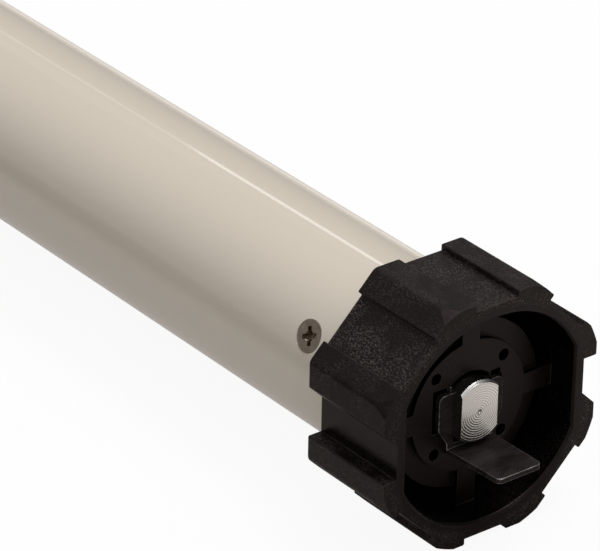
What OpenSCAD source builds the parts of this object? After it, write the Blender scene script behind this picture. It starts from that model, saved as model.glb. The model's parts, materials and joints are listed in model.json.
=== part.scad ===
// Tubular roller blind motor of the 45 mm class, with the drive wheel for a 60 mm octagonal tube.
// X runs along the motor. The mounting face of the fixed head is at X = 0 and the output end is at +X.
// Angles round the axis are counted from +Y towards +Z. The flats of the output shaft stand upright.

/* [Motor tube] */
// Outside diameter of the motor tube
tube_d = 45; // [44.6:0.1:45.4]
// Wall of the motor tube
tube_wall = 1; // [0.8:0.1:1.2]
// Length of the motor tube
tube_len = 485.5; // [475.5:0.5:540.5]

/* [Tube screws] */
// Diameter of a countersunk screw head
screw_head_d = 7.5; // [7:0.1:8]
// Height of the countersunk cone
screw_head_h = 2.2; // [1.8:0.1:2.6]
// Thread diameter of a tube screw
screw_d = 4; // [3.5:0.1:4.4]
// Length of a tube screw
screw_len = 9; // [7:0.5:10]
// Distance from the output end of the tube to its screws
screw_setback = 9.5; // [8:0.5:11]
// Distance from the head end of the tube to its screws
head_screw_setback = 12; // [10:0.5:14]
// Angle of the first screw round the tube
screw_angle = 154; // [140:1:160]
// Screws at each end of the tube
screw_count = 3; // [2:1:3]
// Depth that the heads sit below the tube surface
screw_sink = 0.2; // [0.1:0.05:0.4]
// Width of the cross recess
recess_w = 1.1; // [0.9:0.1:1.3]
// Turn of the cross recess round the screw
recess_turn = 25; // [0:5:45]
// Span of the cross recess
recess_span = 4.4; // [3.6:0.1:4.8]
// Depth of the cross recess
recess_h = 1.7; // [1.2:0.1:1.9]

/* [Octagonal lands] */
// Distance across the lands of the drive wheel, a sliding fit in the blind tube
octagon_af = 58.5; // [58:0.1:58.8]
// Height of the lands above the shallow recesses
land_h = 1.5; // [1:0.05:1.7]
// Depth of the two recesses that clear the seam of the blind tube
seam_h = 3.5; // [2.5:0.1:3.8]
// Reach of a seam recess before the middle of its flat
seam_before = 2.2; // [1.5:0.1:3]
// Reach of a seam recess past the middle of its flat
seam_after = 6.3; // [5:0.1:7]
// Reach of the upright recesses before the middle of their flats
recess_a_before = 6.3; // [5:0.1:7.5]
// Reach of the upright recesses past the middle of their flats
recess_a_after = 5.2; // [4.5:0.1:7.5]
// Reach of the rising recesses before the middle of their flats
recess_b_before = 7.2; // [5:0.1:7.5]
// Reach of the rising recesses past the middle of their flats
recess_b_after = 6.2; // [5:0.1:7.5]
// Reach of the falling recesses before the middle of their flats
recess_c_before = 5.9; // [5:0.1:7.5]
// Reach of the falling recesses past the middle of their flats
recess_c_after = 6.8; // [5:0.1:7.5]
// Rounding of the octagon corners
octagon_corner_r = 2.2; // [1:0.1:3]
// Rounding of the land edges
land_edge_r = 0.4; // [0.2:0.05:0.5]

/* [Drive wheel] */
// Length of the drive wheel
wheel_len = 26; // [25:0.5:30]
// Gap between the end cap and the drive wheel
wheel_gap = 1; // [0.6:0.1:1.5]
// Radius of the two arcs of the front cavity
cavity_r = 24.4; // [24:0.1:24.8]
// Sideways set of the two arcs of the cavity, which makes it slightly oval
cavity_set = 0.9; // [0.5:0.1:1.2]
// Distance from the axis to the two flat sides of the cavity
cavity_flat = 23.15; // [22.6:0.05:23.6]
// Chamfer at the mouth of the cavity
mouth_chamfer = 0.5; // [0.3:0.1:0.8]
// Length of the cone that trims the front ends of the lands
lead_in = 3.5; // [2:0.5:5]
// Height that the cone takes off the land corners at the rim
lead_in_drop = 0.8; // [0.4:0.1:1.2]
// Wall that closes the back of the cavity
wheel_rear_t = 3; // [2:0.5:4]
// Depth of the hub face behind the rim
hub_setback = 7.6; // [7.2:0.1:8]
// Thickness of the hub plate
hub_t = 4.5; // [4:0.1:5]
// Radius of the raised hub
hub_r = 15.6; // [15.2:0.1:16]
// Height of the hub and its spokes above the ledge round them
hub_step = 1.45; // [1:0.05:1.8]
// Width of the four spokes
spoke_w = 4.9; // [4:0.1:6]
// Outer radius of the ledge and of the sleeve behind it
sleeve_r = 20.1; // [19.6:0.1:20.6]
// Wall of the sleeve
sleeve_wall = 2.8; // [2.4:0.1:3.2]
// Outer radius of the hub boss
boss_r = 11; // [10.4:0.1:11.6]
// Radius of the four small hub holes
hub_hole_r = 1.4; // [1:0.05:1.5]
// Radius of the circle that the hub holes are on
hub_hole_ring_r = 13.2; // [12.9:0.1:13.5]
// Clearance between the shaft and its hub bore at the rounds
hub_fit_round = 0.25; // [0.1:0.05:0.3]
// Clearance between the shaft and its hub bore at the flats
hub_fit_flat = 0.1; // [0.05:0.05:0.15]
// Chamfer at the mouth of the hub bore
bore_chamfer = 0.5; // [0.3:0.1:0.7]

/* [Output shaft] */
// Diameter of the output shaft
shaft_d = 15; // [14.6:0.1:15.2]
// Distance across the two flats of the shaft end
shaft_flats = 10; // [9.8:0.1:10.4]
// Depth of the shaft end behind the wheel rim
shaft_setback = 3.9; // [3:0.1:5]
// Chamfer on the shaft end
shaft_chamfer = 0.6; // [0.3:0.1:0.9]
// Depth of the clip groove in each flat
clip_groove_h = 0.3; // [0.2:0.05:0.4]
// Diameter of the thrust collar
collar_d = 20; // [18:0.5:22]
// Thickness of the thrust collar
collar_t = 2; // [1.6:0.1:2.4]
// Diameter of the shaft spigot in the output carrier
spigot_d = 12; // [11.6:0.1:12.2]
// Distance across the flats of the spigot
spigot_flats = 9; // [8.6:0.1:9.4]

/* [Locking clip] */
// Thickness of the clip sheet
clip_t = 1.2; // [1:0.1:1.3]
// Depth of the front of the fork behind the wheel rim
clip_setback = 6.9; // [6.6:0.1:7.1]
// Half width over the two prongs
prong_half = 8.8; // [8.4:0.1:9]
// Height of the prong tips above the axis
prong_top = 4.9; // [4.5:0.1:5.6]
// Rounding of the clip's outer corners
prong_round = 1.6; // [0.8:0.1:2]
// Distance from the axis to the outer side of the deep slot beside one prong
prong_slot = 10.1; // [9.8:0.1:10.4]
// Half width of the tongue
tongue_half = 6; // [5.4:0.1:6.2]
// Sideways set of the tongue tip
tongue_set = 0.6; // [0:0.1:0.8]
// Depth of the tongue surface below the axis
tongue_drop = 8.7; // [8.5:0.1:9]
// Reach of the tongue ahead of the wheel rim
tongue_reach = 9.5; // [7:0.5:11]

/* [End cap and bush] */
// Length of the end cap inside the tube
cap_len = 19.5; // [18.5:0.5:22]
// Thickness of the end cap flange
cap_flange_t = 1.5; // [1.2:0.1:2]
// Outside diameter of the bronze bush
bush_od = 20; // [19:0.5:21]
// Radial running clearance of the shafts in their bushes
running_gap = 0.05; // [0.03:0.01:0.08]
// Radial gap between the inner parts and the tube
seat_gap = 0.05; // [0.03:0.01:0.1]

/* [Planetary gears] */
// Module of the planetary teeth
gear_m = 0.75; // [0.74:0.01:0.76]
// Teeth on each sun gear
sun_teeth = 12; // [12:12:12]
// Teeth on each planet gear
planet_teeth = 18; // [18:18:18]
// Pressure angle of the teeth
pressure_angle = 25; // [24:0.5:26]
// Thinning of each tooth at its pitch line
tooth_slack = 0.08; // [0.06:0.01:0.12]
// Face width of the first planet gears
face_1 = 8; // [7:0.5:9]
// Face width of the second planet gears
face_2 = 10; // [9:0.5:11]
// Face width of the third planet gears
face_3 = 14; // [12:0.5:15]
// Thickness of the first and second carriers
carrier_t = 3; // [2.5:0.5:4]
// Thickness of the output carrier
out_carrier_t = 5; // [4:0.5:6]
// Radius of the carriers
carrier_r = 16.6; // [16.2:0.1:16.8]
// Radius of the planet pins
planet_pin_r = 2.5; // [2.2:0.1:2.8]
// Axial gap between gears and carriers
stage_gap = 0.3; // [0.2:0.05:0.4]
// Thickness of the plate behind the gears
gear_plate_t = 8; // [6:0.5:10]

/* [Brake] */
// Thickness of the brake disc
brake_disc_t = 4; // [3:0.5:5]
// Radius of the brake disc
brake_disc_r = 17; // [16:0.5:17.5]
// Thickness of the brake armature
armature_t = 3.5; // [3:0.5:4.5]
// Radius of the brake armature
armature_r = 21; // [20.8:0.1:21.1]
// Air gap that the armature moves through
brake_gap = 0.8; // [0.6:0.1:1]
// Length of the brake magnet
magnet_len = 14; // [12:0.5:16]
// Inner radius of the coil space in the brake magnet
coil_space_r0 = 9; // [8.8:0.1:9.4]
// Outer radius of the coil space in the brake magnet
coil_space_r1 = 17; // [16.6:0.1:17.2]
// Wire radius of the brake spring
brake_wire_r = 0.6; // [0.5:0.05:0.7]

/* [Motor] */
// Length of the stator stack, before it is stretched to fill the tube
stator_len = 80; // [70:1:85]
// Radius of the stator bore
stator_bore_r = 10.9; // [10.8:0.1:11.2]
// Radius of the rotor
rotor_r = 10.6; // [10.3:0.1:10.6]
// Length of each winding head
winding_len = 14; // [12:0.5:14]
// Thickness of the end bell plates
bell_t = 10; // [8:0.5:12]
// Diameter of the rotor shaft
rotor_shaft_d = 8; // [7.6:0.1:8.2]
// Outside diameter of the rotor bushes
rotor_bush_od = 14; // [13:0.5:15]
// Radius at the foot of the stator slots
slot_r0 = 12.2; // [12:0.1:12.4]
// Radius at the top of the stator slots
slot_r1 = 18; // [17.4:0.1:18.4]
// Width of a stator slot at its foot
slot_w0 = 3.8; // [3.4:0.1:4]
// Width of a stator slot at its top
slot_w1 = 6.2; // [5.6:0.1:6.4]
// Number of stator slots
slot_count = 12; // [12:12:12]
// Number of rotor bars
rotor_bars = 16; // [12:2:18]

/* [Head] */
// Diameter of the head flange
flange_d = 56; // [54:0.5:57]
// Length of the head flange
flange_len = 20; // [20:0.5:22]
// Length of the journal
journal_len = 16; // [15:0.5:18]
// Diameter of the head spigot
head_spigot_d = 34; // [33:0.5:34.5]
// Length of the head spigot
head_spigot_len = 10; // [10:0.5:12]
// Length of the plug inside the tube
plug_len = 20; // [18:0.5:22]
// Side of the square mounting pin
mount_pin_w = 10; // [9.8:0.1:10]
// Free length of the mounting pin
mount_pin_len = 12; // [10:1:16]
// Distance between the two threaded inserts
insert_spacing = 44; // [43:0.5:45]
// Core radius of the thread in each insert
insert_core_r = 2.1; // [2:0.05:2.2]
// Radius of the inserts
insert_r = 3.5; // [3.2:0.1:3.6]
// Length of the inserts
insert_len = 8; // [7:0.5:8.5]
// Length of the cable socket along the motor
socket_len = 12; // [11:0.5:12.5]
// Height of the cable socket
socket_h = 10; // [9:0.5:11]
// Depth of the cable socket
socket_depth = 14; // [12:0.5:14]

/* [Crown] */
// Length of the crown ring
crown_len = 23.2; // [23:0.1:23.3]
// Outside diameter of the crown ring, which the octagon of the crown adapter grows with
crown_d = 50; // [49.5:0.1:50.5]
// Wall of the crown ring over the journal that it turns on
crown_wall = 3; // [2.9:0.1:3.2]
// Wall of the crown ring outside the roots of its teeth
crown_root_wall = 4.04; // [3.9:0.02:4.2]
// Wall of the crown adapter under its seam recesses
adapter_wall = 0.75; // [0.6:0.05:0.9]
// Length of the octagonal crown adapter
adapter_len = 21; // [18:0.5:21.5]
// Teeth inside the crown
crown_teeth = 50; // [50:50:50]
// Teeth on the sensor pinion
sensor_teeth = 15; // [15:15:15]
// Face width of the sensor pinion
sensor_face = 4.8; // [4:0.1:4.8]

/* [Electronics] */
// Length of the board tray, before it is stretched to fill the tube
tray_len = 148; // [140:1:150]
// Width of the control board
board_w = 35; // [32:0.5:35]
// Length of the control board, before it is stretched to fill the tube
board_len = 135; // [130:1:138]
// Thickness of the control board
board_t = 1.6; // [1.4:0.1:1.8]
// Distance of the control board below the axis
board_drop = 3.4; // [3:0.1:4]
// Wall of the board tray
tray_wall = 2.15; // [1.85:0.1:2.35]
// Width of the terminal blocks
terminal_w = 24; // [22:0.5:26]
// Height of the terminal blocks
terminal_h = 11; // [10:0.5:12]
// Diameter of the terminal screw holes
terminal_hole_d = 2.8; // [2.4:0.1:3.2]
// Diameter of the run capacitor
capacitor_d = 28; // [26:0.5:29]
// Length of the run capacitor, before it is stretched to fill the tube
capacitor_len = 58; // [50:1:62]
// Diameter of the programming button
button_d = 5; // [4.6:0.1:5.4]
// Travel of the programming button
button_travel = 1.2; // [0.8:0.1:1.2]

/* [Hidden] */
$fn = 64;
eps = 0.01;
cut = 1;
tube_r = tube_d / 2;
bore_r = tube_r - tube_wall;
seat_r = bore_r - seat_gap;

// Stations along the motor, counted from the head
journal_end = flange_len + journal_len;
head_spigot_end = journal_end + head_spigot_len;
tube_start = head_spigot_end;
tube_end = tube_start + tube_len;
plug_end = tube_start + plug_len;
collar_face = tube_start - cap_flange_t;
crown_start = flange_len + 0.5;
crown_end = crown_start + crown_len;
crown_web = journal_end + 1.9;

// Stations at the output end
cap_back = tube_end - cap_len;
cap_front = tube_end + cap_flange_t;
wheel_back = cap_front + wheel_gap;
wheel_front = wheel_back + wheel_len;
hub_x = wheel_front - hub_setback;
hub_back = hub_x - hub_t;
ledge_x = hub_x - hub_step;
sleeve_bore_r = sleeve_r - sleeve_wall;
boss_back = wheel_back + 2;
shaft_tip = wheel_front - shaft_setback;
clip_face = wheel_front - clip_setback;
clip_back = clip_face - clip_t;
clip_tip = wheel_front + tongue_reach;
collar_x = cap_back + 0.5;
bush_x = collar_x + collar_t + 0.5;

// Stations of the gear stages
out_plate_x = cap_back - 0.2 - out_carrier_t;
planet_3_x = out_plate_x - stage_gap - face_3;
carrier_2_x = planet_3_x - 2 * stage_gap - carrier_t;
planet_2_x = carrier_2_x - stage_gap - face_2;
carrier_1_x = planet_2_x - 2 * stage_gap - carrier_t;
planet_1_x = carrier_1_x - stage_gap - face_1;
ring_x = planet_1_x - 1.7;
gear_plate_x = ring_x - gear_plate_t;

// Stations of the brake and the motor
brake_disc_x = gear_plate_x - 0.05 - brake_disc_t;
armature_x = brake_disc_x - 0.05 - armature_t;
magnet_front = armature_x - brake_gap;
magnet_x = magnet_front - magnet_len;
out_bell_x = magnet_x - bell_t;
stator_end = out_bell_x - winding_len;

// The board tray, the capacitor and the stator share the length that the other parts leave
capacitor_room = 14;
motor_room = 20.6;
free_len = out_bell_x - 2 * winding_len - bell_t - motor_room - capacitor_room - plug_end;
stretch = free_len / (tray_len + capacitor_len + stator_len);
stator_x = stator_end - stator_len * stretch;
head_bell_x = stator_x - winding_len - bell_t;
board_x = plug_end + 4.5;
board_end = board_x + board_len * stretch;
tray_end = plug_end + tray_len * stretch;
capacitor_x = tray_end + capacitor_room;
capacitor_end = capacitor_x + capacitor_len * stretch;

// Gear sizes
ring_teeth = sun_teeth + 2 * planet_teeth;
gear_centre = gear_m * (sun_teeth + planet_teeth) / 2;
planet_phase = 180 / planet_teeth;
addendum = 0.9;
dedendum = 1.2;
crown_m = (crown_d / 2 - crown_root_wall) / (crown_teeth / 2 + dedendum);
crown_centre = crown_m * (crown_teeth - sensor_teeth) / 2;
journal_d = crown_d - 2 * crown_wall;
key_h = 0.28 * (seam_h + adapter_wall);
adapter_af = crown_d + 2 * (seam_h + adapter_wall);
flank_points = 3;

// Electronics
board_z = -board_drop;
magnet_disc_x = plug_end + 0.8;
out_screw_x = tube_end - screw_setback;
head_screw_x = tube_start + head_screw_setback;
terminal_len = 10 * stretch;
terminal_x = [board_x + 7.5 * stretch, board_end - terminal_len];
lead_r = 0.8;
lead_drop_z = 3.85 - seat_r;
brake_lead_y = (coil_space_r0 + coil_space_r1 + 1) / 2;
capacitor_lead_y = 8;
bezel_r = 4.2;
button_x = 13.5;
switch_z = 8;
button_collar_z = 17;
bezel_z = 18.5;
socket_x = 10;
supply_x = 14.3;
supply_z = [-2.4, -0.5, 1.4];

// Shapes along the motor axis

module rod(x0, x1, r) {
    translate([x0, 0, 0]) rotate([0, 90, 0]) cylinder(h = x1 - x0, r = r);
}

module cone_rod(x0, x1, r0, r1) {
    translate([x0, 0, 0]) rotate([0, 90, 0]) cylinder(h = x1 - x0, r1 = r0, r2 = r1);
}

module pipe(x0, x1, r_in, r_out) {
    difference() {
        rod(x0, x1, r_out);
        rod(x0 - cut, x1 + cut, r_in);
    }
}

// A flat shape drawn in Y and Z, extruded from x0 to x1
module lengthwise(x0, x1) {
    translate([x0, 0, 0]) rotate([90, 0, 90]) linear_extrude(x1 - x0) children();
}

module around(angle) {
    rotate([angle, 0, 0]) children();
}

// A box from one corner to the other
module block(from, to) {
    translate(from) cube(to - from);
}

// A bar with two flats that face +Y and -Y
module double_d(x0, x1, r, half) {
    intersection() {
        rod(x0, x1, r);
        block([x0 - cut, -half, -r - cut], [x1 + cut, half, r + cut]);
    }
}

// Chamfer that opens a two-flatted hole towards its mouth at x
module chamfer_d(x, size, r, half) {
    intersection() {
        cone_rod(x - size, x + eps, r, r + size + eps);
        translate([0, 0, -r - size - cut]) linear_extrude(2 * (r + size + cut)) polygon([
            [x - size, -half], [x + eps, -half - size - eps], [x + eps, half + size + eps], [x - size, half]
        ]);
    }
}

// Involute teeth

function roll_deg(r, base) = r <= base ? 0 : sqrt(pow(r / base, 2) - 1) * 180 / PI - acos(base / r);

function half_tooth(r, z, m, slack) =
    90 / z - slack / (z * m) * 180 / PI
    + roll_deg(z * m / 2, z * m / 2 * cos(pressure_angle))
    - roll_deg(r, z * m / 2 * cos(pressure_angle));

function flank(r0, r1, z, m, slack, side) = [
    for (i = [0 : flank_points])
        let (step = side < 0 ? i : flank_points - i)
        let (r = r0 + (r1 - r0) * step / flank_points)
        [r, side * half_tooth(r, z, m, slack)]
];

module teeth(z, m, inner, outer, slack) {
    r0 = z * m / 2 - inner * m;
    r1 = z * m / 2 + outer * m;
    one = concat(flank(r0, r1, z, m, slack, -1), flank(r0, r1, z, m, slack, 1));
    polygon([
        for (k = [0 : z - 1]) for (p = one) p[0] * [cos(p[1] + k * 360 / z), sin(p[1] + k * 360 / z)]
    ]);
}

module gear(z, m) {
    teeth(z, m, dedendum, addendum, tooth_slack);
}

// The space inside a ring gear, turned so that a ring tooth stands at +Y
module ring_space(z, m) {
    rotate(180 / z) teeth(z, m, addendum, dedendum, -tooth_slack);
}

// A round wire wound about Z, from z = 0 to z = len
module coil_spring(mean_r, wire_r, turns, len, sides = 8, steps = 16) {
    rings = turns * steps;
    climb = (len - 2 * wire_r) / rings;
    points = [
        for (i = [0 : rings]) for (s = [0 : sides - 1])
            let (a = i * 360 / steps)
            let (r = mean_r + wire_r * cos(s * 360 / sides))
            [r * cos(a), r * sin(a), wire_r + i * climb + wire_r * sin(s * 360 / sides)]
    ];
    walls = [
        for (i = [0 : rings - 1]) for (s = [0 : sides - 1])
            let (n = (s + 1) % sides)
            [i * sides + s, i * sides + n, (i + 1) * sides + n, (i + 1) * sides + s]
    ];
    first = [for (s = [sides - 1 : -1 : 0]) s];
    last = [for (s = [0 : sides - 1]) rings * sides + s];
    polyhedron(points = points, faces = concat([first], walls, [last]), convexity = 10);
}

// Tube and its screws

module screws_at(x) {
    for (k = [0 : screw_count - 1])
        around(screw_angle + k * 360 / screw_count) translate([x, 0, 0]) children();
}

// A screw along +Y with its head at the tube surface, or the hole that it needs
module tube_screw_shape(grow) {
    top = tube_r - screw_sink;
    rotate([-90, 0, 0]) {
        translate([0, 0, top - screw_head_h])
            cylinder(h = screw_head_h, r1 = screw_d / 2 + grow, r2 = screw_head_d / 2 + grow);
        translate([0, 0, top - screw_len]) cylinder(h = screw_len - eps, r = screw_d / 2 + grow);
        if (grow > 0) translate([0, 0, top - eps]) cylinder(h = 2, r = screw_head_d / 2 + grow);
    }
}

module motor_tube() {
    color("wheat") difference() {
        rod(tube_start, tube_end, tube_r);
        rod(tube_start - cut, tube_end + cut, bore_r);
        screws_at(head_screw_x) tube_screw_shape(0.1);
        screws_at(out_screw_x) tube_screw_shape(0.1);
    }
}

module tube_screw() {
    difference() {
        tube_screw_shape(0);
        translate([0, tube_r - screw_sink, 0]) {
            for (turn = [0, 90])
                rotate([0, turn + recess_turn, 0])
                    block([-recess_span / 2, -recess_h, -recess_w / 2], [recess_span / 2, cut, recess_w / 2]);
            rotate([90, 0, 0]) cylinder(h = recess_h + 0.3, r1 = 1.3, r2 = 0.4);
        }
    }
}

module tube_screws() {
    color("silver") {
        screws_at(head_screw_x) tube_screw();
        screws_at(out_screw_x) tube_screw();
    }
}

// Drive wheel and crown adapter share the octagon with its raised corner lands

module recess(face, angle, before, after) {
    rotate(angle) translate([face - land_h, -before]) square([land_h + 5, before + after]);
}

module seam_recess(face, angle) {
    rotate(angle) polygon([
        [face - seam_h, -seam_before],
        [face - seam_h, seam_after],
        [face + 2, seam_after],
        [face + 2, -seam_before - seam_h - 2]
    ]);
}

module land_outline(across) {
    face = across / 2;
    corner = face / cos(22.5);
    offset(r = land_edge_r, $fn = 24) offset(delta = -land_edge_r) difference() {
        offset(r = octagon_corner_r, $fn = 48) offset(delta = -octagon_corner_r)
            rotate(22.5) circle(r = corner, $fn = 8);
        for (half = [0, 180]) {
            seam_recess(face, half);
            recess(face, half + 45, recess_b_before, recess_b_after);
            recess(face, half + 90, recess_a_before, recess_a_after);
            recess(face, half + 135, recess_c_before, recess_c_after);
        }
    }
}

// Ring that trims the corners of the lands to a cone at the rim
module lead_in_trim() {
    corner = octagon_af / 2 / cos(22.5) - octagon_corner_r * (1 / cos(22.5) - 1) + 0.02;
    slope = lead_in_drop / lead_in;
    difference() {
        rod(wheel_front - lead_in, wheel_front + cut, corner + 2);
        cone_rod(wheel_front - lead_in - 1, wheel_front + 1, corner + slope, corner - lead_in_drop - slope);
    }
}

module wheel_shell() {
    flat = cavity_flat - cavity_set;
    difference() {
        lengthwise(wheel_back, wheel_front) land_outline(octagon_af);
        for (side = [-1, 1]) translate([0, side * cavity_set, 0]) {
            double_d(wheel_back + wheel_rear_t, wheel_front + cut, cavity_r, flat);
            chamfer_d(wheel_front, mouth_chamfer, cavity_r, flat);
        }
        rod(wheel_back - cut, wheel_back + wheel_rear_t + cut, sleeve_bore_r);
        lead_in_trim();
    }
}

module wheel_ribs() {
    for (a = [0 : 90 : 270]) {
        shell = (a % 180 == 0 ? cavity_flat : cavity_r) + 0.4;
        around(a) block([wheel_back + cut, sleeve_r - 0.5, -spoke_w / 2], [hub_x, shell, spoke_w / 2]);
        around(a) block([ledge_x - cut, hub_r - 0.5, -spoke_w / 2], [hub_x, sleeve_r, spoke_w / 2]);
    }
    for (a = [45 : 90 : 315])
        around(a) block([boss_back + 2, boss_r - 0.5, -1.2], [hub_back + eps, sleeve_bore_r + 0.5, 1.2]);
}

module clip_outline() {
    side = tongue_half + 0.4;
    low = -tongue_drop - clip_t;
    polygon([
        [-prong_half, prong_top], [prong_half, prong_top], [prong_half, -3.6], [side, -7.2],
        [side, low], [-side, low], [-side, -7.2], [-prong_half, -3.6]
    ]);
}

// Seat of the locking clip in the hub face, with a deep slot beside one prong and a notch over the other
module clip_seat() {
    deep = hub_back - cut;
    front = hub_x + cut;
    lengthwise(clip_back, front) offset(delta = 0.15) clip_outline();
    block([deep, -prong_slot, -4.2], [front, -prong_half + 0.7, prong_top + 1.4]);
    block([deep, -prong_slot, prong_top - 0.7], [front, -6.2, prong_top + 1.4]);
    block([deep, 5.9, prong_top - 0.7], [front, 8.5, prong_top + 1.6]);
}

module drive_wheel() {
    bore_r = shaft_d / 2 + hub_fit_round;
    bore_flat = shaft_flats / 2 + hub_fit_flat;
    color([0.09, 0.09, 0.09]) difference() {
        union() {
            wheel_shell();
            pipe(wheel_back, ledge_x, sleeve_bore_r, sleeve_r);
            rod(hub_back, ledge_x, sleeve_bore_r + 1);
            rod(ledge_x - 1, hub_x, hub_r);
            rod(boss_back, hub_x, boss_r);
            wheel_ribs();
        }
        for (a = [45 : 90 : 315])
            around(a) translate([0, hub_hole_ring_r, 0]) rod(hub_back - cut, hub_x + cut, hub_hole_r);
        double_d(wheel_back, hub_x + cut, bore_r, bore_flat);
        chamfer_d(hub_x, bore_chamfer, bore_r, bore_flat);
        clip_seat();
    }
}

module output_shaft() {
    r = shaft_d / 2;
    flats_x = boss_back;
    color("silver") difference() {
        union() {
            double_d(out_plate_x, collar_x + eps, spigot_d / 2, spigot_flats / 2);
            rod(collar_x, collar_x + collar_t, collar_d / 2);
            rod(collar_x, shaft_tip - shaft_chamfer, r);
            cone_rod(shaft_tip - shaft_chamfer, shaft_tip, r, r - shaft_chamfer);
        }
        for (side = [-1, 1]) scale([1, side, 1]) {
            block([flats_x, shaft_flats / 2, -r - 1], [shaft_tip + cut, r + 1, r + 1]);
            block([clip_back - 0.05, shaft_flats / 2 - clip_groove_h, -r - 1], [clip_face + 0.05, r + 1, r + 1]);
        }
        pipe(cap_front + 0.2, cap_front + 1.3, r - 0.6, r + 1);
        cone_rod(shaft_tip - 0.6, shaft_tip + eps, 0.1, 0.6);
    }
}

// Fork that grips the grooves in the shaft flats, with the tongue that it is pulled by
module locking_clip() {
    low = -tongue_drop - clip_t;
    inner = shaft_flats / 2 - clip_groove_h + 0.05;
    color([0.16, 0.15, 0.15]) {
        lengthwise(clip_back, clip_face) difference() {
            offset(r = prong_round, $fn = 48) offset(delta = -prong_round) clip_outline();
            translate([-inner, -shaft_d / 2 - 0.1]) square([2 * inner, shaft_d / 2 + prong_top + 2]);
        }
        translate([0, 0, low]) linear_extrude(clip_t) hull() {
            translate([clip_back, -tongue_half - 0.2]) square([1, 2 * tongue_half + 0.4]);
            for (side = [-1, 1])
                translate([clip_tip - 1.2, tongue_set + side * (tongue_half - 1.2)]) circle(r = 1.2, $fn = 32);
        }
    }
}

module shaft_circlip() {
    color("dimgray") difference() {
        pipe(cap_front + 0.25, cap_front + 1.25, shaft_d / 2 - 0.6 + eps, shaft_d / 2 + 2.2);
        block([cap_front, -2, 0], [cap_front + 2, 2, shaft_d]);
    }
}

// Output end of the motor tube

module output_end_cap() {
    color("darkgray") difference() {
        union() {
            rod(cap_back, tube_end, seat_r);
            rod(tube_end, cap_front - 0.4, tube_r);
            cone_rod(cap_front - 0.4, cap_front, tube_r, tube_r - 0.4);
        }
        rod(bush_x, cap_front + cut, bush_od / 2);
        rod(cap_back - cut, bush_x, collar_d / 2 + 2);
        for (k = [0 : 2])
            around(screw_angle - 60 + 120 * k) translate([0, 15.6, 0]) rod(cap_front - 7, cap_front + cut, 3.4);
        screws_at(out_screw_x) tube_screw_shape(0.02);
    }
}

module output_bush() {
    color("peru") pipe(bush_x, cap_front - 0.3, shaft_d / 2 + running_gap, bush_od / 2);
}

module ring_gear() {
    color("gray") difference() {
        rod(ring_x, cap_back, seat_r);
        lengthwise(ring_x - cut, cap_back + cut) ring_space(ring_teeth, gear_m);
    }
}

// Planet carriers: a plate, three pins behind it and the next sun gear in front

module planet_pins(x0, x1) {
    for (k = [0 : 2]) around(120 * k) translate([0, gear_centre, 0]) rod(x0, x1, planet_pin_r);
}

module output_carrier() {
    color("slategray") {
        difference() {
            rod(out_plate_x, out_plate_x + out_carrier_t, carrier_r);
            double_d(out_plate_x - cut, cap_back + cut, spigot_d / 2 + 0.02, spigot_flats / 2 + 0.02);
        }
        planet_pins(planet_3_x - stage_gap, out_plate_x + eps);
    }
}

module sun_carrier(plate_x, pin_end, sun_end) {
    rod(plate_x, plate_x + carrier_t, carrier_r);
    planet_pins(pin_end, plate_x + eps);
    lengthwise(plate_x + carrier_t - eps, sun_end) gear(sun_teeth, gear_m);
}

module carrier_2() {
    color("slategray") sun_carrier(carrier_2_x, planet_2_x - stage_gap, out_plate_x - stage_gap);
}

module carrier_1() {
    color("slategray") sun_carrier(carrier_1_x, planet_1_x - stage_gap, carrier_2_x - stage_gap);
}

module planet(angle, x, face) {
    color("tan") around(angle) translate([0, gear_centre, 0]) difference() {
        lengthwise(x, x + face) rotate(planet_phase - angle) gear(planet_teeth, gear_m);
        rod(x - cut, x + face + cut, planet_pin_r + running_gap);
    }
}

module planet_3a() { planet(0, planet_3_x, face_3); }
module planet_3b() { planet(120, planet_3_x, face_3); }
module planet_3c() { planet(240, planet_3_x, face_3); }
module planet_2a() { planet(0, planet_2_x, face_2); }
module planet_2b() { planet(120, planet_2_x, face_2); }
module planet_2c() { planet(240, planet_2_x, face_2); }
module planet_1a() { planet(0, planet_1_x, face_1); }
module planet_1b() { planet(120, planet_1_x, face_1); }
module planet_1c() { planet(240, planet_1_x, face_1); }

module gear_plate() {
    color("darkgray") difference() {
        rod(gear_plate_x, ring_x, seat_r);
        rod(gear_plate_x - cut, ring_x + cut, rotor_shaft_d / 2 + 0.6);
        rod(ring_x - 2, ring_x + cut, 8);
    }
}

module motor_pinion() {
    color("silver") difference() {
        lengthwise(ring_x + 1, carrier_1_x - stage_gap) gear(sun_teeth, gear_m);
        rod(ring_x, carrier_1_x, 2.5 + eps);
    }
}

// Brake: the spring holds the armature on the disc until the magnet draws it back

module brake_disc() {
    color("saddlebrown") pipe(brake_disc_x, brake_disc_x + brake_disc_t, rotor_shaft_d / 2 + eps, brake_disc_r);
}

module brake_pin_places() {
    for (k = [0 : 2]) around(90 + 120 * k) translate([0, 19.2, 0]) children();
}

module brake_lead_places() {
    for (side = [-1, 1]) translate([0, side * brake_lead_y, 0]) children();
}

module brake_armature() {
    color("gray") difference() {
        rod(armature_x, armature_x + armature_t, armature_r);
        rod(armature_x - cut, armature_x + armature_t + cut, rotor_shaft_d / 2 + 0.7);
        brake_pin_places() rod(armature_x - cut, armature_x + armature_t + cut, 1.36);
    }
}

module brake_spring() {
    color("silver") translate([magnet_x + 3.4, 0, 0]) rotate([0, 90, 0])
        coil_spring(5.9, brake_wire_r, 4, armature_x - magnet_x - 3.4);
}

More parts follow.
